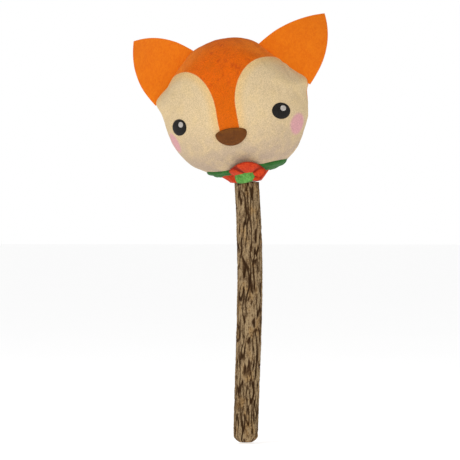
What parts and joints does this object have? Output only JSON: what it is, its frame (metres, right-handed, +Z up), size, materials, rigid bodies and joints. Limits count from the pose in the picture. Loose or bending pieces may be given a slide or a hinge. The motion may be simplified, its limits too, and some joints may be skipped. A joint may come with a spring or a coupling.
{
  "type": "stick puppet",
  "caption": "Stick puppet: a stuffed animal head with felt ears and a small scarf, on a natural twig that the hand holds; the head gives on its soft neck and the ears fold.",
  "frame": {"origin": "centre of the twig's lower end", "axes": "+Z up the twig, the face looks towards -Y, +X is on the right of someone who looks at the face"},
  "size_m": [0.1381, 0.072, 0.3014],
  "materials": {
    "wood": "plain sapwood",
    "bark": "furrowed natural bark",
    "glue": "clear hot-melt bead",
    "thread": "waxed sewing thread",
    "hem_cloth": "gathered velour hem",
    "stuffing": "loose polyester fibre",
    "face_velour": "short-pile velour, printed cream and orange",
    "orange_velour": "short-pile orange velour",
    "ear_felt": "dense wool felt",
    "eye_thread": "black satin stitch",
    "glint_thread": "light grey satin stitch",
    "nose_thread": "brown satin stitch",
    "scarf_green": "dark green felt",
    "scarf_red": "red felt",
    "scarf_light_green": "bright green felt"
  },
  "bodies": {
    "stick": {"stick_wood": "wood", "stick_bark": "bark", "neck_glue": "glue"},
    "neck_tie": {"neck_thread": "thread"},
    "neck_hem": {"neck_hem": "hem_cloth"},
    "head": {"head_stuffing": "stuffing", "face_panel": "face_velour", "back_panel": "orange_velour", "side_seam": "orange_velour", "eye_left": "eye_thread", "eye_right": "eye_thread", "glint_left": "glint_thread", "glint_right": "glint_thread", "nose": "nose_thread", "scarf_green": "scarf_green", "scarf_red": "scarf_red", "scarf_knot": "scarf_red", "scarf_tail": "scarf_light_green"},
    "ear_left": {"ear_left_front": "ear_felt", "ear_left_back": "ear_felt"},
    "ear_right": {"ear_right_front": "ear_felt", "ear_right_back": "ear_felt"}
  },
  "joints": [
    {"name": "head_turn", "type": "hinge", "parent": "stick", "child": "neck_tie", "pos_m": [0, 0, 0.1825], "axis": [0, 0, 1], "range_deg": [-25, 25], "stiffness_Nm_per_rad": 0.35},
    {"name": "head_nod", "type": "hinge", "parent": "neck_tie", "child": "neck_hem", "pos_m": [0, 0, 0.1825], "axis": [1, 0, 0], "range_deg": [-7, 7], "stiffness_Nm_per_rad": 1},
    {"name": "head_tilt", "type": "hinge", "parent": "neck_hem", "child": "head", "pos_m": [0, 0, 0.1825], "axis": [0, 1, 0], "range_deg": [-4, 12], "stiffness_Nm_per_rad": 1},
    {"name": "ear_left_fold", "type": "hinge", "parent": "head", "child": "ear_left", "pos_m": [-0.05115, 0, 0.25496], "axis": [0.5906, 0, 0.807], "range_deg": [-25, 40], "stiffness_Nm_per_rad": 0.01},
    {"name": "ear_right_fold", "type": "hinge", "parent": "head", "child": "ear_right", "pos_m": [0.02684, 0, 0.26704], "axis": [0.807, 0, -0.5906], "range_deg": [-25, 40], "stiffness_Nm_per_rad": 0.01}
  ]
}
